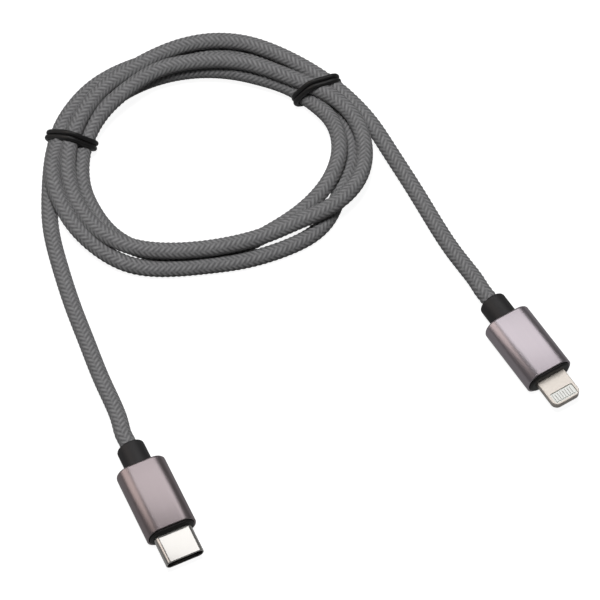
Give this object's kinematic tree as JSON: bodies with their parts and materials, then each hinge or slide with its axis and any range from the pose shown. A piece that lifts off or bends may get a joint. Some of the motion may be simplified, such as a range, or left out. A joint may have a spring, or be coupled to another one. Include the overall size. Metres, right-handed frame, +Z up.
{
  "type": "charging cable",
  "caption": "Braided charging cable wound in an oval coil under elastic ties, with a reversible shell plug at its near end and a flat tab plug at its far end.",
  "frame": {"origin": "on the surface that the cable lies on, under the middle of the box round the two plugs", "axes": "+Z up; -Y is the side that both plugs point towards; +X is from the shell plug towards the tab plug"},
  "size_m": [0.1132, 0.1324, 0.0091],
  "materials": {
    "anodised_aluminium": "satin anodised, rose grey",
    "black_mould": "matte black moulding",
    "bright_steel": "bright nickel plated steel",
    "spring_steel": "stamped spring steel",
    "plated_tab": "satin nickel plated",
    "gold_contact": "plated contact",
    "pale_plastic": "pale moulded insulator",
    "dark_plastic": "dark moulded insulator",
    "board_green": "green solder mask",
    "chip_black": "moulded chip package",
    "tinplate": "tin plated steel",
    "white_jacket": "soft extruded jacket",
    "grey_braid": "woven nylon braid",
    "black_elastic": "matte elastic"
  },
  "bodies": {
    "cable": {"cord_coil": "grey_braid", "cord_to_shell_plug": "grey_braid", "cord_to_tab_plug": "grey_braid", "shell_plug_circuit_board": "board_green", "shell_plug_crimp_ring": "tinplate", "shell_plug_inner_jacket": "white_jacket", "shell_plug_inner_mould": "black_mould", "shell_plug_left_latch": "spring_steel", "shell_plug_lower_contact_carrier": "dark_plastic", "shell_plug_lower_ground_12_contact": "gold_contact", "shell_plug_lower_ground_1_contact": "gold_contact", "shell_plug_lower_ground_spring": "spring_steel", "shell_plug_lower_power_4_contact": "gold_contact", "shell_plug_lower_power_9_contact": "gold_contact", "shell_plug_lower_shield": "tinplate", "shell_plug_marker_chip": "chip_black", "shell_plug_metal_shell": "bright_steel", "shell_plug_right_latch": "spring_steel", "shell_plug_sleeve": "anodised_aluminium", "shell_plug_strain_relief": "black_mould", "shell_plug_upper_config_5_contact": "gold_contact", "shell_plug_upper_contact_carrier": "dark_plastic", "shell_plug_upper_data_6_contact": "gold_contact", "shell_plug_upper_data_7_contact": "gold_contact", "shell_plug_upper_ground_12_contact": "gold_contact", "shell_plug_upper_ground_1_contact": "gold_contact", "shell_plug_upper_ground_spring": "spring_steel", "shell_plug_upper_power_4_contact": "gold_contact", "shell_plug_upper_power_9_contact": "gold_contact", "shell_plug_upper_shield": "tinplate", "tab_plug_bottom_pad_1": "gold_contact", "tab_plug_bottom_pad_2": "gold_contact", "tab_plug_bottom_pad_3": "gold_contact", "tab_plug_bottom_pad_4": "gold_contact", "tab_plug_bottom_pad_5": "gold_contact", "tab_plug_bottom_pad_6": "gold_contact", "tab_plug_bottom_pad_7": "gold_contact", "tab_plug_bottom_pad_8": "gold_contact", "tab_plug_circuit_board": "board_green", "tab_plug_contact_insert": "pale_plastic", "tab_plug_crimp_ring": "tinplate", "tab_plug_identity_chip": "chip_black", "tab_plug_inner_jacket": "white_jacket", "tab_plug_inner_mould": "black_mould", "tab_plug_lower_shield": "tinplate", "tab_plug_metal_tab": "plated_tab", "tab_plug_power_chip": "chip_black", "tab_plug_sleeve": "anodised_aluminium", "tab_plug_strain_relief": "black_mould", "tab_plug_top_pad_1": "gold_contact", "tab_plug_top_pad_2": "gold_contact", "tab_plug_top_pad_3": "gold_contact", "tab_plug_top_pad_4": "gold_contact", "tab_plug_top_pad_5": "gold_contact", "tab_plug_top_pad_6": "gold_contact", "tab_plug_top_pad_7": "gold_contact", "tab_plug_top_pad_8": "gold_contact", "tab_plug_upper_shield": "tinplate"},
    "tie_left": {"tie_left": "black_elastic"},
    "tie_right": {"tie_right": "black_elastic"}
  },
  "joints": [
    {"name": "tie_left_along_coil", "type": "hinge", "parent": "cable", "child": "tie_left", "pos_m": [-0.03191, 0.06703, 0], "axis": [0, 0, 1], "range_deg": [-12, 12]},
    {"name": "tie_right_along_coil", "type": "hinge", "parent": "cable", "child": "tie_right", "pos_m": [-0.02371, 0.06919, 0], "axis": [0, 0, 1], "range_deg": [-6, 12]}
  ]
}
